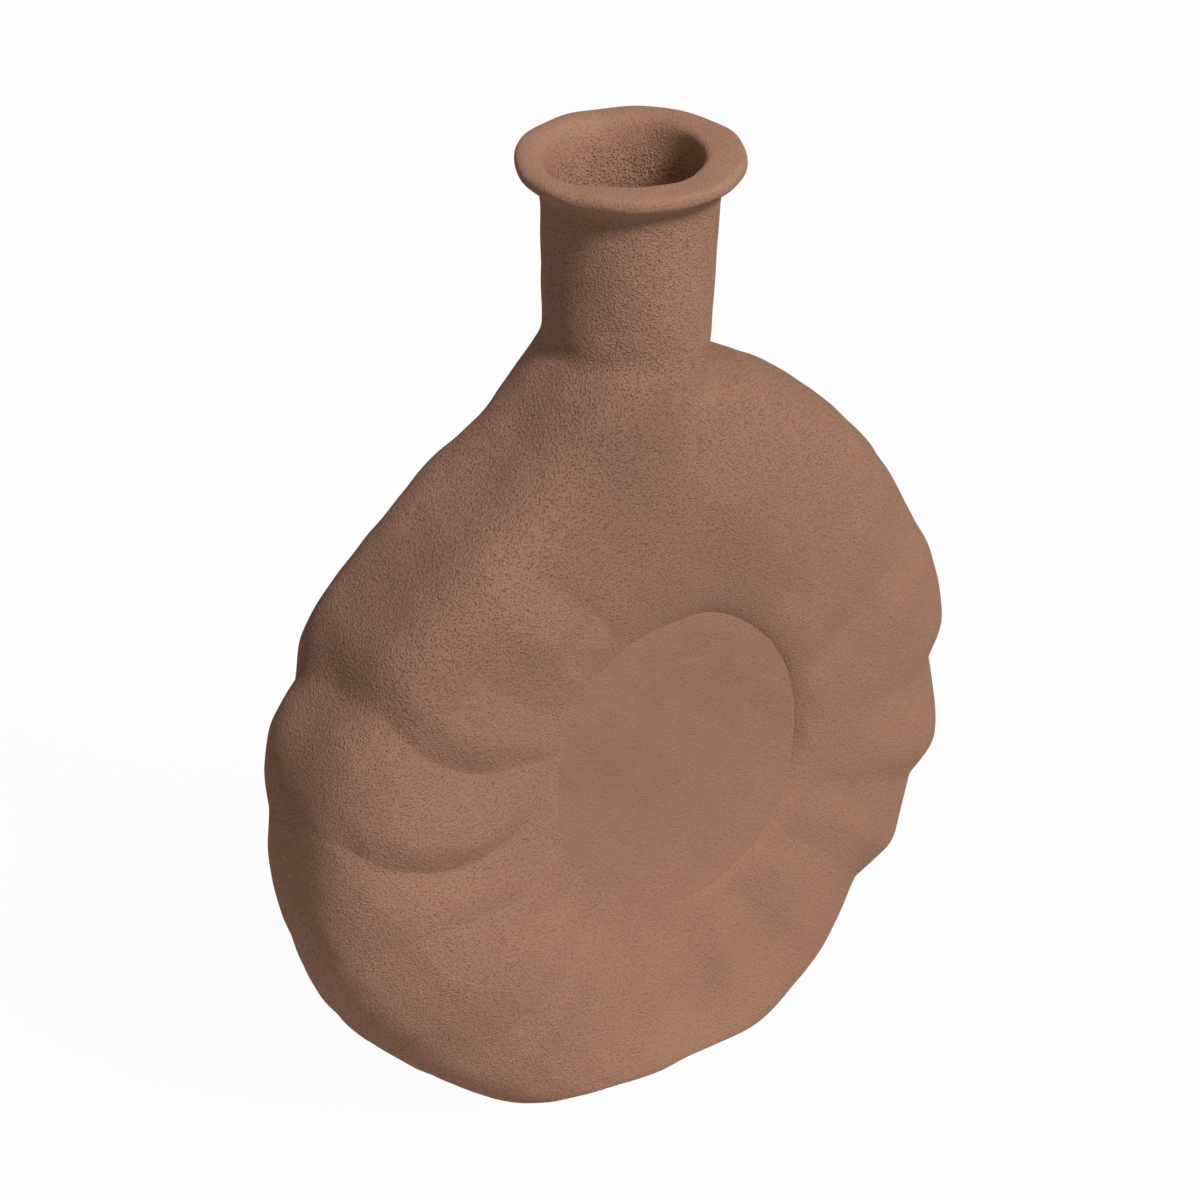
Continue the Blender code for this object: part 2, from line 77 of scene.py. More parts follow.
# The climb from the panel's edge to the crest: power of its steep wall and how far that swings from right
# to left, power of the slope beyond, and the share of wall from which the slope is no longer a cosine
WALL_POWER = 5.5
WALL_POWER_SWING = 1.5
SLOPE_POWER = 1.6
STEEP_WALL = 0.3

# The shoulder: where it begins to thin towards the neck, where its level sections begin and over what
# height they take over, their half depth, how much squarer than a circle they are on the right and left,
# and over what height below the joint they turn round
SHOULDER_FOOT = 55.0
SHOULDER_START, SHOULDER_BLEND = 50.0, 75.0
SHOULDER_DEPTH = 32.5
SHOULDER_RIGHT, SHOULDER_LEFT = 0.6, 2.5
SHOULDER_ROUNDING = 45.0

# Grooves between the ribs: angles at three places from panel to outline, the near one, the middle one
# and the outline itself, widths in degrees towards and against the turn, depths at the same three
# places, share of soft hollow
GROOVE_NEAR, GROOVE_MIDDLE = 0.2, 0.55
GROOVES = (
    (79.0, 83.0, 84.0, 12.0, 12.0, 0.8, 0.5, 0.0, 0.9),
    (44.0, 47.0, 47.0, 13.0, 14.0, 1.1, 0.6, 0.0, 0.9),
    (17.0, 23.0, 22.0, 12.0, 9.0, 1.3, 1.1, 0.6, 0.6),
    (-4.3, -4.0, -2.3, 7.0, 14.0, 0.6, 1.1, 4.5, 0.7),
    (-25.0, -23.5, -21.7, 7.0, 13.0, 0.5, 1.4, 5.0, 0.6),
    (-41.0, -41.0, -40.5, 9.0, 15.0, 1.3, 1.9, 5.2, 0.6),
    (-63.4, -64.2, -64.2, 13.0, 13.0, 1.5, 2.2, 0.0, 0.9),
    (-83.5, -83.0, -82.5, 10.0, 12.0, 1.0, 1.8, 0.0, 0.9),
    (-108.6, -105.0, -106.0, 10.0, 12.0, 0.8, 1.3, 0.0, 0.9),
    (-127.5, -131.5, -137.6, 11.0, 11.0, 0.6, 0.8, 1.2, 0.6),
    (-146.0, -154.5, -160.0, 8.0, 8.0, 0.5, 0.5, 0.0, 0.5),
    (-156.0, -163.0, -165.1, 12.0, 8.0, 0.2, 1.6, 0.6, 0.35),
    (-177.5, -176.0, -186.0, 15.0, 6.5, 0.9, 3.4, 2.6, 0.4),
    (-196.5, -197.0, -205.0, 15.0, 6.5, 1.2, 3.8, 3.4, 0.4),
    (-215.0, -215.0, -219.0, 12.0, 12.0, 0.8, 1.9, 1.0, 0.8),
    (-243.0, -238.5, -231.5, 8.0, 8.0, 0.8, 1.0, 0.0, 0.4),
    (-252.5, -251.0, -254.5, 12.0, 11.0, 0.5, 1.0, 1.2, 1.0),
)

# A low swelling on one rib: its angle, share of the way, width in degrees, length as a share, height
RIDGE = (-228.0, 0.55, 5.0, 0.2, 1.5)

# How the grooves fade: the share that shows inside, the height above which they run out towards the
# neck, and how much of them is lost at the left edge, from what share of the way, over what width
INNER_RELIEF = 0.8
GROOVE_TOP = 105.0
EDGE_LOSS, EDGE_START, EDGE_WIDTH = 0.6, 0.82, 60.0

# Rays along the outline and along the neck's joint, points on each ray outside and inside, the power that
# crowds them at the panel, and the angle, also its sine, below which a ray can meet the foot's plane
OUTLINE_RAYS, NECK_RAYS = 860, 90
CLIMB_POINTS, CREST_POINTS, EDGE_POINTS = 26, 48, 9
INNER_CLIMB_POINTS, INNER_CREST_POINTS = 4, 9
CLIMB_CROWDING = 1.5
LOW_ANGLE = -0.3

# Slow unevenness: radians to a millimetre along the three axes, the waves' heights, where they start for
# each axis, and the height over which they die away towards the standing plane
WAVES = np.array([
    (0.11, 0.05, 0.07), (-0.06, 0.12, 0.10), (0.21, -0.13, 0.17), (0.33, 0.24, -0.29), (-0.41, 0.35, 0.38),
])
WAVE_HEIGHTS = np.array([0.30, 0.26, 0.13, 0.08, 0.06])
WAVE_STARTS = (0.4, 2.3, 4.1)
STILL_FOOT = 12.0

# Edges sharper than this stay crisp, and points closer than this, in metres, are one
SHARP_EDGE = np.radians(50)
SAME_POINT = 0.000001


def smooth_step(value):
    """0 below 0, 1 above 1, level at both ends."""
    share = np.clip(value, 0, 1)
    return share * share * (3 - 2 * share)


def length_along(points):
    """Length of the line through the points, from the first one up to each."""
    return np.concatenate([[0], np.cumsum(np.linalg.norm(np.diff(points, axis=0), axis=1))])


def smooth_curve(points, count):
    """Cubic through all points but the first and last, which only set the end slopes, at even steps."""
    points = np.array(points, float)
    way = length_along(points)
    slope = (points[2:] - points[:-2]) / (way[2:] - way[:-2])[:, None]
    knots, way = points[1:-1], way[1:-1]
    place = np.linspace(way[0], way[-1], count)
    span = np.clip(np.searchsorted(way, place, "right") - 1, 0, len(way) - 2)
    length = (way[span + 1] - way[span])[:, None]
    share = (place - way[span])[:, None] / length
    start = (1 + 2 * share) * knots[span] + share * length * slope[span]
    end = (3 - 2 * share) * knots[span + 1] + (share - 1) * length * slope[span + 1]
    return (1 - share) ** 2 * start + share ** 2 * end


def round_the_ring(values, turn):
    """Twelve values round the ring joined by a closed Catmull-Rom cubic, at angles in degrees."""
    values = np.array(values)
    place = (90 - turn) / 30
    step = np.floor(place).astype(int)
    share = place - step
    before, here, after, beyond = [values[(step + shift) % 12] for shift in (-1, 0, 1, 2)]
    bend = 2 * before - 5 * here + 4 * after - beyond + share * (3 * (here - after) + beyond - before)
    return here + share * (after - before + share * bend) / 2


def seam_outline():
    """The rib-free outline on the seam plane, from the neck's right side clockwise to its left."""
    right, left = NECK_X + NECK_RADIUS, NECK_X - NECK_RADIUS
    turn, reach = np.array(OUTLINE).T
    angle = np.radians(turn)
    points = [(right, NECK_JOINT + UP_THE_NECK), (right, NECK_JOINT)]
    points.append((right + COLLAR_RIGHT[0], NECK_JOINT - COLLAR_RIGHT[1]))
    points.extend(np.stack([reach * np.cos(angle), reach * np.sin(angle)], 1))
    points.append((left - COLLAR_LEFT[0], NECK_JOINT - COLLAR_LEFT[1]))
    points.extend([(left, NECK_JOINT), (left, NECK_JOINT + UP_THE_NECK)])
    return smooth_curve(points, OUTLINE_POINTS)


def groove_cut(turn, share):
    """Depth pressed into the ribs at an angle in degrees and a share of the way from panel to outline. A
    groove's centre line is a parabola through its three angles; across it a notch, falling as the square
    of the distance, is mixed with a soft cosine hollow; its depth goes in smooth steps through three
    values. The ridge is a bell curve both ways."""
    near_part = (share - GROOVE_MIDDLE) * (share - 1) / ((GROOVE_NEAR - GROOVE_MIDDLE) * (GROOVE_NEAR - 1))
    middle_part = (share - GROOVE_NEAR) * (share - 1) / ((GROOVE_MIDDLE - GROOVE_NEAR) * (GROOVE_MIDDLE - 1))
    far_part = (share - GROOVE_NEAR) * (share - GROOVE_MIDDLE) / ((1 - GROOVE_NEAR) * (1 - GROOVE_MIDDLE))
    first_step = smooth_step(share / GROOVE_NEAR)
    second_step = smooth_step((share - GROOVE_NEAR) / (GROOVE_MIDDLE - GROOVE_NEAR))
    last_step = smooth_step((share - GROOVE_MIDDLE) / (1 - GROOVE_MIDDLE))
    cut = np.zeros(np.broadcast(turn, share).shape)
    for near, middle, far, ahead, astern, shallow, halfway, deep, soft in GROOVES:
        line = near * near_part + middle * middle_part + far * far_part
        off = (turn - line + 180) % 360 - 180
        off = np.minimum(np.abs(off) / np.where(off > 0, ahead, astern), 1)
        profile = (1 - soft) * (1 - off) ** 2 + soft * np.cos(np.pi / 2 * off) ** 2
        depth = shallow * first_step + (halfway - shallow) * second_step + (deep - halfway) * last_step
        cut += profile * depth
    ridge_turn, place, width, length, height = RIDGE
    off = (turn - ridge_turn + 180) % 360 - 180
    return cut - height * np.exp(-(off / width) ** 2 - ((share - place) / length) ** 2)


def panel_dip(angle):
    """How far the panel's edge is pressed down at the foot of the crest, above and on the right."""
    return PANEL_DIP * smooth_step(0.5 + 0.9 * np.sin(angle + 0.3))


def crest_radius(turn, hole, reach):
    """Radius of the ring's highest line, at its share of the way from the panel's hole to the outline."""
    return hole + round_the_ring(CREST_SHARE, turn) * (reach - hole)


outline = seam_outline()


def ring_skin(angle, reach, radius, inset=0.0):
    """Points of the clay's skin as x, depth from the seam plane and z, at radii on rays of given angle
    and reach. From the panel's edge the depth rises to the crest by a power law, and from there falls
    to the seam as a quarter superellipse. Towards the neck that turns into level sections, superellipses
    that end in the neck's circle. The grooves are then pressed in, square to the section."""
    turn = np.degrees(angle)
    top = round_the_ring(CREST_DEPTH, turn) - inset
    power = round_the_ring(EDGE_POWER, turn)
    edge = round_the_ring(EDGE_DEPTH, turn) - inset
    wall = round_the_ring(WALL_SHARE, turn)
    hole = round_the_ring(PANEL_EDGE, turn)
    floor = PANEL_FACE + PANEL_TILT * hole / PANEL_RADIUS * np.sin(angle) - panel_dip(angle) - inset
    crest = crest_radius(turn, hole, reach)
    climb = np.clip((radius - hole) / (crest - hole), 0, 1)
    over = np.clip((radius - crest) / (reach - crest), 0, 1)
    steep = smooth_step(wall / STEEP_WALL)
    slope = steep * (1 - climb) ** SLOPE_POWER + (1 - steep) * np.cos(np.pi / 2 * climb) ** 2
    foot = (1 - climb) ** (WALL_POWER + WALL_POWER_SWING * np.cos(angle))
    recess = floor + (top - floor) * (1 - wall * foot - (1 - wall) * slope)
    corner = (1 - over ** power) ** (1 / power)
    depth = np.where(radius < crest, recess, (top - (top - edge) * over ** 2) * corner)

    x, z = radius * np.cos(angle), radius * np.sin(angle)
    right_half, left_half = np.argmax(outline[:, 0]), np.argmin(outline[:, 0])
    right = np.interp(z, outline[right_half::-1, 1], outline[right_half::-1, 0]) - inset
    left = np.interp(z, outline[left_half:, 1], outline[left_half:, 0]) + inset
    middle, half_width = (right + left) / 2, (right - left) / 2
    rise = smooth_step((z - SHOULDER_FOOT) / (NECK_JOINT - SHOULDER_FOOT))
    thick = (SHOULDER_DEPTH - inset) * (1 - rise) + (NECK_RADIUS - inset) * rise
    squarer = np.where(x > middle, SHOULDER_RIGHT, SHOULDER_LEFT)
    level_power = 2 + squarer * smooth_step((NECK_JOINT - z) / SHOULDER_ROUNDING)
    across = np.clip(np.abs(x - middle) / half_width, 0, 1)
    level = thick * (1 - across ** level_power) ** (1 / level_power)
    blend = smooth_step((z - SHOULDER_START) / SHOULDER_BLEND)
    depth = depth * (1 - blend) + level * blend

    outward = over ** (power - 1) / (reach - crest)
    forward = corner ** (power - 1) / top
    share = np.clip((radius - hole) / (reach - hole), 0, 1)
    pressed = groove_cut(turn, share) * (1 if inset == 0 else INNER_RELIEF) / np.hypot(outward, forward)
    pressed = pressed * (1 - smooth_step((z - GROOVE_TOP) / (NECK_JOINT - GROOVE_TOP)))
    at_edge = smooth_step((over - EDGE_START) / (1 - EDGE_START)) * smooth_step(-x / EDGE_WIDTH)
    pressed = pressed * (1 - EDGE_LOSS * at_edge)
    radius, depth = radius - pressed * outward, depth - pressed * forward
    return radius * np.cos(angle), depth, radius * np.sin(angle)


def hand_worked(points):
    """Points moved by a slow three-way sum of sines, the unevenness of hand-smoothed clay. It depends on
    the place alone, so that pieces that touch move together, and it leaves the standing plane level."""
    still = smooth_step((points[..., 2] - STANDING_PLANE) / STILL_FOOT)
    moved = points.copy()
    for axis, start in enumerate(WAVE_STARTS):
        phase = points @ np.roll(WAVES, axis, axis=1).T + start + np.arange(len(WAVES))
        swing = np.sin(phase) @ WAVE_HEIGHTS
        moved[..., axis] += swing * still if axis == 2 else swing
    return moved


def placed(name, data):
    """An object of that name, in the scene."""
    thing = bpy.data.objects.new(name, data)
    bpy.context.scene.collection.objects.link(thing)
    return thing


def closed_piece(name, points, material, node, wrap=True):
    """A grid of points as a mesh that closes on itself both ways, or only round its rows with its two end
    columns drawn to a point, standing for the CAD node named."""
    rows, columns = points.shape[:2]
    index = np.arange(rows * columns).reshape(rows, columns)
    if wrap:
        index = np.hstack([index, index[:, :1]])
    index = np.vstack([index, index[:1]])
    quads = np.stack([index[:-1, :-1], index[1:, :-1], index[1:, 1:], index[:-1, 1:]], -1).reshape(-1, 4)
    mesh = bpy.data.meshes.new(name)
    mesh.from_pydata(((points + PANEL_AXIS) * MILLIMETRE).reshape(-1, 3), [], quads)
    shape = bmesh.new()
    shape.from_mesh(mesh)
    bmesh.ops.remove_doubles(shape, verts=shape.verts, dist=SAME_POINT)
    bmesh.ops.recalc_face_normals(shape, faces=shape.faces)
    shape.to_mesh(mesh)
    shape.free()
    mesh.shade_smooth()
    mesh.set_sharp_from_angle(angle=SHARP_EDGE)
    mesh.materials.append(material)
    piece = placed(name, mesh)
    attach(piece, "root")
    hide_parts(node)


def moulded_half(name, side, node, material):
    """A half's outside, from the panel's hole over the crest to the seam, and its inside back again, on
    rays that end at even steps along the outline and then on the neck's joint. Points are spread on each
    ray so that one lies where the foot's plane cuts the shell."""
    way = length_along(outline)
    steps = np.linspace(0, way[-1], OUTLINE_RAYS)
    ends = np.stack([np.interp(steps, way, outline[:, axis]) for axis in (0, 1)], 1)
    neck_turn = np.linspace(np.pi, 0, NECK_RAYS + 2)[1:-1]
    joint = np.stack([NECK_X + NECK_RADIUS * np.cos(neck_turn), np.full(NECK_RAYS, NECK_JOINT)], 1)
    ends = np.concatenate([ends, joint])
    angle = np.arctan2(ends[:, 1], ends[:, 0])[:, None]
    reach = np.hypot(ends[:, 0], ends[:, 1])[:, None]
    turn = np.degrees(angle)
    hole = round_the_ring(PANEL_EDGE, turn)
    power = round_the_ring(EDGE_POWER, turn)

    plane = STANDING_PLANE + FOOT_THICKNESS
    crest = crest_radius(turn, hole, reach)
    cut = np.where(angle < LOW_ANGLE, plane / np.minimum(np.sin(angle), LOW_ANGLE), np.inf)
    cut = np.arcsin(np.clip((cut - crest) / (reach - crest), 0.05, 0.98) ** (power / 2))
    past_cut = cut + (np.pi / 2 - cut) * np.linspace(0, 1, EDGE_POINTS)[1:]
    over = np.sin(np.hstack([cut * np.linspace(0, 1, CREST_POINTS), past_cut])) ** (2 / power)
    climb = np.linspace(0, 1, CLIMB_POINTS, endpoint=False) ** CLIMB_CROWDING
    radius = np.hstack([hole + climb * (crest - hole), crest + over * (reach - crest)])
    x, depth, z = ring_skin(angle, reach, radius)
    depth[:OUTLINE_RAYS, -1] = 0
    outside = np.stack([x, side * depth, np.maximum(z, plane)], -1)

    reach = reach - WALL
    crest = crest_radius(turn, hole, reach)
    over = np.sin(np.linspace(0, np.pi / 2, INNER_CREST_POINTS)) ** (2 / power)
    climb = np.linspace(0, 1, INNER_CLIMB_POINTS, endpoint=False)
    radius = np.hstack([hole + climb * (crest - hole), crest + over * (reach - crest)])
    x, depth, z = ring_skin(angle, reach, radius, WALL)
    depth[:OUTLINE_RAYS, -1] = 0
    z[OUTLINE_RAYS:, -1] = NECK_JOINT
    inside = np.stack([x, side * np.maximum(depth, 0), np.maximum(z, plane + WALL)], -1)
    points = np.concatenate([hand_worked(outside), inside[:, ::-1]], 1)
    closed_piece(name, points[::-side], material, node)


class Wire:
    """An output of a shader node. Arithmetic on it adds Math nodes, and node() adds any other kind."""

    def __init__(self, tree, socket=None):
        self.tree = tree
        self.socket = socket

    def node(self, kind, settings, inputs, output=0):
        """A node of a kind: its settings first, then its inputs, each a wire or a constant."""
        made = self.tree.nodes.new(kind)
        for name, value in settings.items():
            setattr(made, name, value)
        for name, value in inputs.items():
            if isinstance(value, Wire):
                self.tree.links.new(value.socket, made.inputs[name])
            else:
                made.inputs[name].default_value = value
        return Wire(self.tree, made.outputs[output])

    def math(self, operation, *values):
        """A Math node on numbers, of which this may be one."""
        return self.node("ShaderNodeMath", {"operation": operation}, dict(enumerate(values)))

    def parts(self):
        """The three numbers of a vector."""
        return [self.node("ShaderNodeSeparateXYZ", {}, {0: self}, axis) for axis in range(3)]

    def joined(self, *values):
        """A vector of three numbers."""
        return self.node("ShaderNodeCombineXYZ", {}, dict(enumerate(values)))

    def distance(self, spot):
        """Length of the way from a vector to a fixed spot."""
        return self.node("ShaderNodeVectorMath", {"operation": "DISTANCE"}, {0: self, 1: spot}, "Value")

    def ramp(self, start, end):
        """0 at start and before it, 1 at end and beyond, level at both."""
        inputs = {"Value": self, "From Min": start, "From Max": end}
        return self.node("ShaderNodeMapRange", {"interpolation_type": "SMOOTHSTEP"}, inputs)

    def noise(self, scale, detail):
        """Smooth noise of a vector, about 0.5, with so many waves to each unit of length."""
        return self.node("ShaderNodeTexNoise", {}, {"Vector": self, "Scale": scale, "Detail": detail})

    def __add__(self, other):
        return self.math("ADD", self, other)

    def __sub__(self, other):
        return self.math("SUBTRACT", self, other)

    def __rsub__(self, other):
        return self.math("SUBTRACT", other, self)

    def __mul__(self, other):
        return self.math("MULTIPLY", self, other)

    def __truediv__(self, other):
        return self.math("DIVIDE", self, other)

    def __rtruediv__(self, other):
        return self.math("DIVIDE", other, self)

    __radd__ = __add__
    __rmul__ = __mul__


# The fired clay: its colour, and the waves to a millimetre and detail of its sand, pits and slow clouds.
# A pit is where the noise lies past the first of two values, and it is full at the second
DRY_CLAY = (0.382, 0.2035, 0.1365)
SHEEN_COLOUR = (1.0, 0.53, 0.36, 1.0)
SAND_GRAIN = (1.35, 2.0)
PIT_GRAIN = (1.6, 1.0)
CLOUD_GRAIN = (0.045, 3.0)
PIT_START, PIT_FULL = 0.54, 0.72

# How much clouds, sand and pits change the shade, and sand and pits the height and the roughness
CLOUD_SHADE, SAND_SHADE, PIT_SHADE = 0.08, 0.18, 0.34
SAND_HEIGHT, PITTED_SAND_HEIGHT, PIT_DEPTH = 0.3, 1.2, 0.6
GRAIN_HEIGHT = 0.00052
DRY_ROUGHNESS, PIT_ROUGHNESS = 0.86, 0.1


def clay_finish(name, tone, pitting, strokes=None):
    """Unglazed clay. Its shade is a tone times slow clouds and fine sand, less the pits. Sand and pits are
    noise, drawn out along the strokes where there are any, and the bump has them too. Tone and pitting
    are each a number or a recipe that makes one of the place in millimetres about the panel's axis, and
    strokes is a recipe for the drawn-out place."""
    material = bpy.data.materials.new(name)
    material.use_nodes = True
    tree = material.node_tree
    place = Wire(tree).node("ShaderNodeTexCoord", {}, {}, "Object")
    place = place.node("ShaderNodeVectorMath", {"operation": "SCALE"}, {0: place, 3: 1 / MILLIMETRE})
    place = place.node("ShaderNodeVectorMath", {"operation": "SUBTRACT"}, {0: place, 1: tuple(PANEL_AXIS)})
    tone, pitting = [recipe(place) if callable(recipe) else recipe for recipe in (tone, pitting)]
    stroke = strokes(place) if strokes else place
    sand = stroke.noise(*SAND_GRAIN)
    pits = stroke.noise(*PIT_GRAIN).ramp(PIT_START, PIT_FULL) * pitting
    clouds = place.noise(*CLOUD_GRAIN)
    shade = tone * (1 - CLOUD_SHADE / 2 + CLOUD_SHADE * clouds)
    shade = shade * (1 - SAND_SHADE / 2 + SAND_SHADE * sand) * (1 - PIT_SHADE * pits)
    colour = shade.node("ShaderNodeVectorMath", {"operation": "SCALE"}, {0: DRY_CLAY, 3: shade})
    roughness = DRY_ROUGHNESS + PIT_ROUGHNESS * pits
    height = sand * (SAND_HEIGHT + PITTED_SAND_HEIGHT * pitting) - PIT_DEPTH * pits
    relief = {"Strength": 1.0, "Distance": GRAIN_HEIGHT, "Height": height}
    normal = height.node("ShaderNodeBump", {}, relief, "Normal")
    shader = tree.nodes["Principled BSDF"]
    shader.inputs["Specular IOR Level"].default_value = 0.05
    shader.inputs["Sheen Weight"].default_value = 0.12
    shader.inputs["Sheen Roughness"].default_value = 0.5
    shader.inputs["Sheen Tint"].default_value = SHEEN_COLOUR
    tree.links.new(colour.socket, shader.inputs["Base Color"])
    tree.links.new(roughness.socket, shader.inputs["Roughness"])
    tree.links.new(normal.socket, shader.inputs["Normal"])
    return material


# Patches of painted light and shade on the body's tone: the middle, the distances at which a patch begins
# and is full, its strength. In turn: lighter low on the left, then painted shade on the left shoulder, the
# left flank, the root of the neck, the neck's joint and the hollow above the panel
BODY_TONE = 0.96
PAINTED_LIGHT_AND_SHADE_PATCHES = (
    ((-112, -5, -22), 60, 15, 0.10),
    ((-104, -4, 74), 60, 15, -0.16),
    ((-100, -25, 8), 70, 20, -0.05),
    ((-30, -26, 104), 48, 10, -0.14),
    ((-14, -22, 128), 34, 8, -0.09),
    ((14, -28, 58), 42, 12, -0.06),
)


def painted_light_and_shade_tone(place):
    """Lighter on the left; painted light up the neck and at the foot; the patches of painted light and shade
    added to that.
    """
    x, _, z = place.parts()
    # painted light: the tone rises up the neck and towards the foot
    tone = BODY_TONE + 0.06 * x.ramp(0, -80) + 0.15 * z.ramp(108, 140) + 0.08 * z.ramp(-70, -105)
    # the patches paint shade on the left shoulder and flank, at the neck's root and joint and above the
    # panel, and lighten low on the left
    for spot, begins, full, strength in PAINTED_LIGHT_AND_SHADE_PATCHES:
        tone = tone + strength * place.distance(spot).ramp(begins, full)
    return tone


def body_pitting(place):
    """Coarse on the left, over the shoulder and up the neck, rubbed smooth on the right and low down."""
    x, _, z = place.parts()
    return 0.35 + 0.3 * x.ramp(20, -90) + 0.45 * z.ramp(20, 120)


# the body's tone carries painted light and shade, on the shells, the neck and the foot alike
brushed = clay_finish("brushed_clay", painted_light_and_shade_tone, body_pitting)
moulded_half("front_shell", -1, "front_half", brushed)
moulded_half("back_shell", 1, "back_half", brushed)

# Round panels: a flat disc of clay let into the hole in the middle of each face, wiped round with a
# damp sponge, its edge flush with the ring below and pressed down a little at the foot of the crest
# above.
PANEL_STEPS, PANEL_RINGS = 240, 46
PANEL_GAP = 0.02
PANEL_FALL = 14
PANEL_CHAMFER = 6.0
RIPPLE_START, RIPPLE_END = 8.0, 5.0
WIPED_PITTING = 0.3
STROKE_RADIUS = 30.0


def round_panel(name, side, node, material):
    """Rings from the middle of the panel's face out to its edge, round it and back behind. The face is
    lowered a little towards its rim and carries faint ripples, sines of the distance from the middle."""
    turn = np.linspace(0, 2 * np.pi, PANEL_STEPS, endpoint=False)[:, None]
    hole = round_the_ring(PANEL_EDGE, np.degrees(turn))
    lean = PANEL_TILT / PANEL_RADIUS * np.sin(turn)
    face = np.linspace(0, 1, PANEL_RINGS)[None] * (hole - PANEL_GAP)
    ripple = 0.03 * np.sin(face * 1.05 + 1.3 * np.sin(turn + 0.6)) + 0.02 * np.sin(face * 1.9 - 2 * turn)
    ripple = ripple * smooth_step(face / RIPPLE_START) * smooth_step((hole - face) / RIPPLE_END)
    fall = panel_dip(turn) * (face / hole) ** PANEL_FALL
    edge = np.hstack([hole, hole, hole - PANEL_CHAMFER, 0 * hole])
    below = np.array([-1.0, -WALL + 0.5, -WALL, -WALL])
    radius = np.hstack([face, edge])
    depth = PANEL_FACE + lean * radius + np.hstack([ripple - fall, below + 0 * edge])
    points = np.stack([radius * np.cos(turn), side * depth, radius * np.sin(turn)], -1)
    closed_piece(name, hand_worked(points[::side]), material, node, wrap=False)


def round_strokes(place):
    """Distance from the panel's middle, and the direction on a small circle: noise drawn out in arcs."""
    x, _, z = place.parts()
    reach = place.joined(x, 0, z).distance((0, 0, 0))
    wide = reach.math("MAXIMUM", reach, STROKE_RADIUS)
    return place.joined(x / wide * STROKE_RADIUS, z / wide * STROKE_RADIUS, reach)


def panel_recess_shade_tone(place):
    """Painted shade of the recess: darker than the ring, and a little lighter towards the lower edge."""
    return 0.88 + 0.06 * place.parts()[2].ramp(20, -45)


# the panels' tone is painted shade, the recessed disc darker than the ring around it
wiped = clay_finish("wiped_clay", panel_recess_shade_tone, WIPED_PITTING, round_strokes)
round_panel("front_panel", -1, "front_disc", wiped)
round_panel("back_panel", 1, "back_disc", wiped)

# Neck: a short tube rolled from a strip of clay and luted upright on the shoulder, a little wider at
# the top, its joint smeared over with the fingers.
NECK_TOP = 174.5
NECK_SPREAD = 0.9
NECK_SPREAD_POWER = 1.5
NECK_LEVELS = 40
TURN_STEPS = 256


def turned_piece(name, profile, node, material):
    """A closed profile of radius and height, each given round the turn, swept about the neck's axis."""
    turn = np.linspace(0, 2 * np.pi, TURN_STEPS, endpoint=False)[:, None]
    radius, height = profile(turn)
    x = NECK_X + NECK_LEAN * (height - NECK_JOINT) + radius * np.cos(turn)
    points = np.stack(np.broadcast_arrays(x, -radius * np.sin(turn), height), -1)
    closed_piece(name, hand_worked(points), material, node)


def neck_profile(turn):
    """The same all round: up the outside, which widens by a power of the height, and down the bore."""
    up = np.linspace(0, 1, NECK_LEVELS)
    down = up[::-2]
    outside = NECK_RADIUS + NECK_SPREAD * up ** NECK_SPREAD_POWER
    inside = np.full(len(down), NECK_RADIUS - WALL)
    height = NECK_JOINT + (NECK_TOP - NECK_JOINT) * np.concatenate([up, down])
    return np.concatenate([outside, inside]), height


sandy = clay_finish("sandy_clay", painted_light_and_shade_tone, body_pitting)
turned_piece("neck_tube", neck_profile, "neck", sandy)

# Rim: a coil of clay laid on the neck, drawn out into a flat lip and turned in to a funnel mouth. On
# the right its inner edge is crisp; on the left the lip was pressed down softly into the funnel. Each
# side's section is a row of radii and heights, from below the joint outside to below it inside.
CRISP_SIDE = (
    (26.8, 168.0), (27.1, 174.5), (27.4, 179.4), (28.4, 184.2), (31.0, 187.8), (33.7, 189.3), (35.0, 190.4),
    (35.4, 192.0), (35.1, 193.5), (34.2, 194.3), (31.0, 194.6), (27.0, 194.6), (24.4, 194.4), (23.1, 193.6),
    (22.5, 191.9), (22.1, 185.0), (21.7, 178.0), (21.4, 174.5), (21.4, 168.0),
)
SOFT_SIDE = (
    (26.8, 168.0), (27.1, 174.5), (27.4, 179.6), (28.4, 184.6), (31.0, 188.2), (33.7, 189.7), (35.0, 190.7),
    (35.3, 192.1), (34.9, 193.4), (33.6, 194.1), (31.4, 194.2), (29.2, 193.7), (27.4, 192.5), (26.0, 190.4),
    (24.8, 187.4), (23.4, 182.4), (22.1, 177.6), (21.4, 174.5), (21.4, 168.0),
)
CRISP_TURN = np.radians(80)
RIM_POINTS = 90
# painted light: the rim's tone is set lighter than the body's
LIP_PAINTED_LIGHT = 1.11


def rim_profile(turn):
    """The two sides' sections, each a cubic through its points, mixed by the cosine of the turn."""
    crisp, soft = smooth_curve(CRISP_SIDE, RIM_POINTS), smooth_curve(SOFT_SIDE, RIM_POINTS)
    share = smooth_step(0.55 + 0.75 * np.cos(turn - CRISP_TURN))
    return [share * crisp[:, axis] + (1 - share) * soft[:, axis] for axis in (0, 1)]


def lip_pitting(place):
    """Smooth on the lip, coarse in the funnel and below the lip."""
    x, y, z = place.parts()
    reach = place.joined(x - NECK_X, y, 0).distance((0, 0, 0))
    return 0.4 + 0.6 * reach.ramp(27, 22) + 0.4 * z.ramp(188, 180)


# the rim's clay carries painted light, a tone above the body's
lip = clay_finish("lip_clay", LIP_PAINTED_LIGHT, lip_pitting)
turned_piece("flared_rim", rim_profile, "rim", lip)

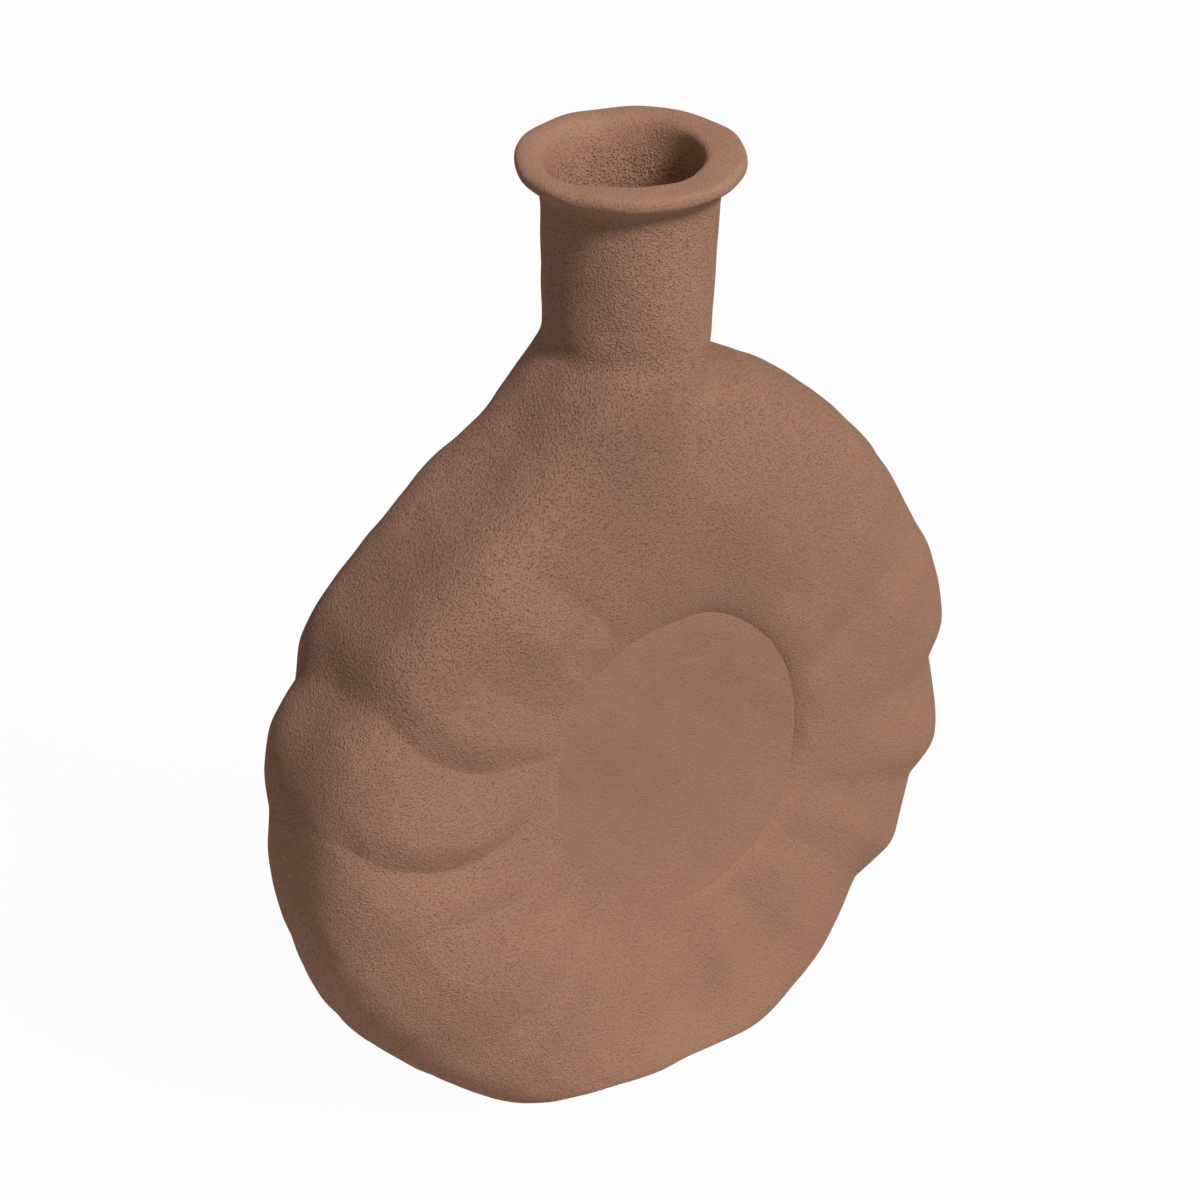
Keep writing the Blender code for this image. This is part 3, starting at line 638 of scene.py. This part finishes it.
# Foot: a slab of clay under the ring, trimmed flush with its sides so that the vase stands flat, the
# lower edge rubbed round. Its levels above the standing plane go with how far each is drawn in.
FOOT_LEVELS = np.array([FOOT_THICKNESS, 3.8, 2.6, 1.6, 0.9, 0.4, 0.1, 0.0])
FOOT_DRAWN_IN = np.array([0, 0, 0, 0.05, 0.2, 0.5, 0.9, 1.5])
FOOT_STEPS = 480
FOOT_ZONE, FOOT_HALF_LENGTH = 20.0, 100.0


def foot_points():
    """The ring's own plan at a row of levels, from the slab's top to the standing plane, with the middle
    of the top and of the underside as end points. At each level the angle swings as a cosine between
    the two places where the outline crosses it, and the last rows are drawn in for the rubbed edge."""
    turn = np.linspace(0, 2 * np.pi, FOOT_STEPS, endpoint=False)[:, None]
    level = STANDING_PLANE + FOOT_LEVELS
    outline_angle = np.unwrap(np.arctan2(outline[:, 1], outline[:, 0]))
    low = (outline[:, 1] < STANDING_PLANE + FOOT_ZONE) & (np.abs(outline[:, 0]) < FOOT_HALF_LENGTH)
    low_z, low_angle = outline[low, 1], outline_angle[low]
    bottom = np.argmin(low_z)
    first = np.interp(level, low_z[:bottom + 1][::-1], low_angle[:bottom + 1][::-1])
    last = np.interp(level, low_z[bottom:], low_angle[bottom:])
    angle = (first + last) / 2 + (first - last) / 2 * np.cos(turn)
    reach = np.interp(-angle, -outline_angle, np.hypot(outline[:, 0], outline[:, 1]))
    x, depth, _ = ring_skin(angle, reach, np.minimum(level / np.sin(angle), reach))
    y = -np.sign(np.sin(turn)) * depth
    middle = (x.max() + x.min()) / 2
    kept = 1 - FOOT_DRAWN_IN / np.hypot(x - middle, y)
    rows = np.stack(np.broadcast_arrays(middle + (x - middle) * kept, y * kept, level), -1)
    top = np.array([middle, 0, STANDING_PLANE + FOOT_THICKNESS]) + 0 * rows[:, :1]
    under = np.array([middle, 0, STANDING_PLANE]) + 0 * rows[:, :1]
    return np.concatenate([top, rows, under], 1)


rubbed = clay_finish("rubbed_clay", painted_light_and_shade_tone, body_pitting)
closed_piece("foot_slab", hand_worked(foot_points()), rubbed, "base_slab", wrap=False)

# Seam coil: a thin roll of raw clay pressed along the joint inside, from one side of the neck down round
# the ring and over the floor to the other side. A round section is swept along the seam.
COIL_RADIUS = 3.5
COIL_INSET = 13.2
COIL_FLOOR = STANDING_PLANE + FOOT_THICKNESS + WALL + 4.0
COIL_BEND = 12.0
COIL_TOP = NECK_JOINT - 34
COIL_SPACING = 20
COIL_STEPS = 20
RAW_TONE = 0.9
RAW_PITTING = 0.8


def coil_points():
    """A circle at each step of a route, square to it. The route keeps one distance inside the outline and
    bends softly on to the floor, as the square of the height left above it. Its ends are drawn to points."""
    route = outline * (1 - COIL_INSET / np.hypot(outline[:, 0], outline[:, 1]))[:, None]
    lift = route[:, 1] - COIL_FLOOR
    soft = np.clip(lift + COIL_BEND, 0, 2 * COIL_BEND) ** 2 / (4 * COIL_BEND)
    route[:, 1] = COIL_FLOOR + np.where(lift > COIL_BEND, lift, soft)
    route = route[route[:, 1] < COIL_TOP][::COIL_SPACING]
    along = np.gradient(route, axis=0)
    along = along / np.linalg.norm(along, axis=1)[:, None]
    turn = np.linspace(0, 2 * np.pi, COIL_STEPS, endpoint=False)[:, None]
    across = COIL_RADIUS * np.cos(turn)
    x, z = route[:, 0] - across * along[:, 1], route[:, 1] + across * along[:, 0]
    tube = np.stack(np.broadcast_arrays(x, COIL_RADIUS * np.sin(turn), z), -1)
    ends = np.stack([route[:, 0], 0 * route[:, 0], route[:, 1]], -1) + 0 * tube
    return np.concatenate([ends[:, :1], tube, ends[:, -1:]], 1)


raw = clay_finish("raw_clay", RAW_TONE, RAW_PITTING)
closed_piece("seam_roll", coil_points(), raw, "seam_coil", wrap=False)

# Floor: a wide sheet of pale paper, white to the eye and in reflections. To the lamp it is a dull grey,
# lighter close to the vase, so that it keeps the vase's shadow and sends a little light back up.
FLOOR_REACH = 8
FAR_GREY = (0.32, 0.32, 0.32, 1)
NEAR_GREY = (0.6, 0.6, 0.6, 1)
PAPER_WHITE = 0.97


def seen_share(tree):
    """1 for a ray from the camera, off a gloss or through glass, and 0 for one that lights the clay."""
    kinds = ("Camera", "Glossy", "Transmission")
    rays = [Wire(tree).node("ShaderNodeLightPath", {}, {}, "Is %s Ray" % kind) for kind in kinds]
    return rays[0] + rays[1] + rays[2]


paper = bpy.data.materials.new("pale_paper")
paper.use_nodes = True
tree = paper.node_tree
tree.nodes.remove(tree.nodes["Principled BSDF"])
near = Wire(tree).node("ShaderNodeTexCoord", {}, {}, "Object").distance((0, 0, 0)).ramp(0.5, 0.12)
grey = near.node("ShaderNodeMix", {"data_type": "RGBA"}, {0: near, 6: FAR_GREY, 7: NEAR_GREY}, 2)
dull = grey.node("ShaderNodeBsdfDiffuse", {}, {"Color": grey})
glow = grey.node("ShaderNodeEmission", {}, {})
surface = grey.node("ShaderNodeMixShader", {}, {0: seen_share(tree) * PAPER_WHITE, 1: dull, 2: glow})
tree.links.new(surface.socket, tree.nodes["Material Output"].inputs["Surface"])
corners = [(x * FLOOR_REACH, y * FLOOR_REACH, 0) for x, y in ((-1, -1), (1, -1), (1, 1), (-1, 1))]
floor_mesh = bpy.data.meshes.new("floor")
floor_mesh.from_pydata(corners, [], [(0, 1, 2, 3)])
floor_mesh.materials.append(paper)
placed("floor", floor_mesh)

# Light: an even white sky, dim where it lights the clay, and one soft lamp high in front of the face.
# Both are white, so that the clay shows about the colour that is written for it.
SKY_LIGHT = 0.22
KEY_ENERGY = 2.75
KEY_SOFTNESS = np.radians(12)
KEY_TURN, KEY_LIFT = np.radians(5.5), np.radians(45.0)


def direction(turn, lift):
    """The way from the vase to a spot that is turned from straight in front to the right, and raised."""
    return np.array([np.sin(turn) * np.cos(lift), -np.cos(turn) * np.cos(lift), np.sin(lift)])


sky = bpy.data.worlds.new("sky")
bpy.context.scene.world = sky
sky.use_nodes = True
background = sky.node_tree.nodes["Background"]
background.inputs["Color"].default_value = (1, 1, 1, 1)
level = SKY_LIGHT + (1 - SKY_LIGHT) * seen_share(sky.node_tree)
sky.node_tree.links.new(level.socket, background.inputs["Strength"])
lamp = bpy.data.lights.new("key", "SUN")
lamp.energy = KEY_ENERGY
lamp.angle = KEY_SOFTNESS
key = placed("key", lamp)
key.rotation_euler = Vector(direction(KEY_TURN, KEY_LIFT)).to_track_quat("Z", "Y").to_euler()

# Camera: far off and long, so that the vase is seen almost without perspective. The middle of the front
# panel falls on a set pixel, counted from the upper left of the picture.
CAMERA_TURN, CAMERA_LIFT = np.radians(-41.74), np.radians(26.84)
CAMERA_DISTANCE = 6000.0
PIXELS_PER_MM = 3.26
PICTURE_SIDE = 1200
PANEL_PIXEL = (671.6, 759.3)
SENSOR_WIDTH = 36
back = direction(CAMERA_TURN, CAMERA_LIFT)
side = np.array([np.cos(CAMERA_TURN), np.sin(CAMERA_TURN), 0])
up = np.cross(back, side)
right_by = (PICTURE_SIDE / 2 - PANEL_PIXEL[0]) / PIXELS_PER_MM
up_by = (PANEL_PIXEL[1] - PICTURE_SIDE / 2) / PIXELS_PER_MM
aim = PANEL_AXIS + np.array([0, -PANEL_FACE, 0]) + side * right_by + up * up_by
lens = bpy.data.cameras.new("camera")
lens.sensor_width = SENSOR_WIDTH
lens.lens = PIXELS_PER_MM * CAMERA_DISTANCE * SENSOR_WIDTH / PICTURE_SIDE
lens.clip_end = 100
camera = placed("camera", lens)
camera.location = Vector((aim + back * CAMERA_DISTANCE) * MILLIMETRE)
camera.rotation_euler = Vector(back).to_track_quat("Z", "Y").to_euler()
bpy.context.scene.camera = camera
bpy.context.scene.view_settings.view_transform = "Standard"
